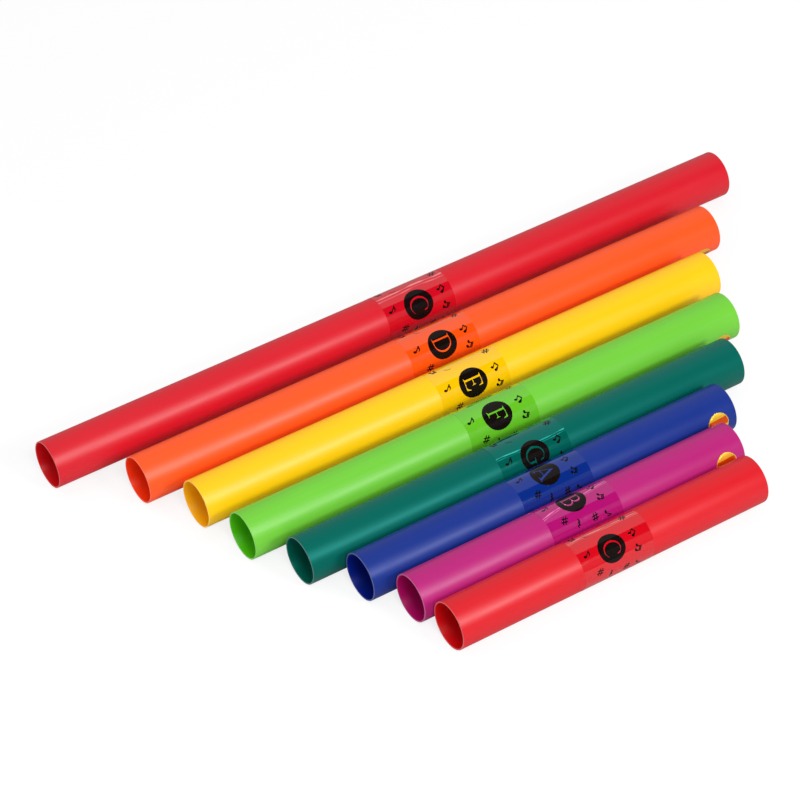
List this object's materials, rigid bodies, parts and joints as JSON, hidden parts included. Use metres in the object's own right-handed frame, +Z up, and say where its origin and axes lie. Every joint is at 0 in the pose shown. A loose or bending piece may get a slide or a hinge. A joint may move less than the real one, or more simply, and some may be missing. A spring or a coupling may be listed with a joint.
{
  "type": "tuned percussion tubes",
  "caption": "Row of loose open-ended plastic tubes in graded lengths and colours, struck by hand to sound the notes of one diatonic octave.",
  "frame": {"origin": "on the table, at the centre of the row of tubes as seen from above", "axes": "+X along the tubes to the right, +Y away from the viewer towards the longest tube, +Z up"},
  "size_m": [0.661, 0.3708, 0.0403],
  "materials": {
    "low_c_plastic": "satin, moulded",
    "d_plastic": "satin, moulded",
    "e_plastic": "satin, moulded",
    "f_plastic": "satin, moulded",
    "g_plastic": "satin, moulded",
    "a_plastic": "satin, moulded",
    "b_plastic": "satin, moulded",
    "high_c_plastic": "satin, moulded",
    "label_film": "clear gloss film",
    "sticker_foil": "gold foil"
  },
  "bodies": {
    "low_c": {"tube_low_c": "low_c_plastic", "label_low_c": "label_film"},
    "d": {"tube_d": "d_plastic", "label_d": "label_film", "sticker_d": "sticker_foil"},
    "e": {"tube_e": "e_plastic", "label_e": "label_film"},
    "f": {"tube_f": "f_plastic", "label_f": "label_film", "sticker_f": "sticker_foil"},
    "g": {"tube_g": "g_plastic", "label_g": "label_film"},
    "a": {"tube_a": "a_plastic", "label_a": "label_film", "sticker_a": "sticker_foil"},
    "b": {"tube_b": "b_plastic", "label_b": "label_film", "sticker_b": "sticker_foil"},
    "high_c": {"tube_high_c": "high_c_plastic", "label_high_c": "label_film"}
  },
  "joints": [
    {"name": "d_lift", "type": "slide", "parent": "low_c", "child": "d", "axis": [0, 0, 1], "range_m": [0, 0.12]},
    {"name": "e_lift", "type": "slide", "parent": "low_c", "child": "e", "axis": [0, 0, 1], "range_m": [0, 0.12]},
    {"name": "f_lift", "type": "slide", "parent": "low_c", "child": "f", "axis": [0, 0, 1], "range_m": [0, 0.12]},
    {"name": "g_lift", "type": "slide", "parent": "low_c", "child": "g", "axis": [0, 0, 1], "range_m": [0, 0.12]},
    {"name": "a_lift", "type": "slide", "parent": "low_c", "child": "a", "axis": [0, 0, 1], "range_m": [0, 0.12]},
    {"name": "b_lift", "type": "slide", "parent": "low_c", "child": "b", "axis": [0, 0, 1], "range_m": [0, 0.12]},
    {"name": "high_c_lift", "type": "slide", "parent": "low_c", "child": "high_c", "axis": [0, 0, 1], "range_m": [0, 0.12]}
  ]
}
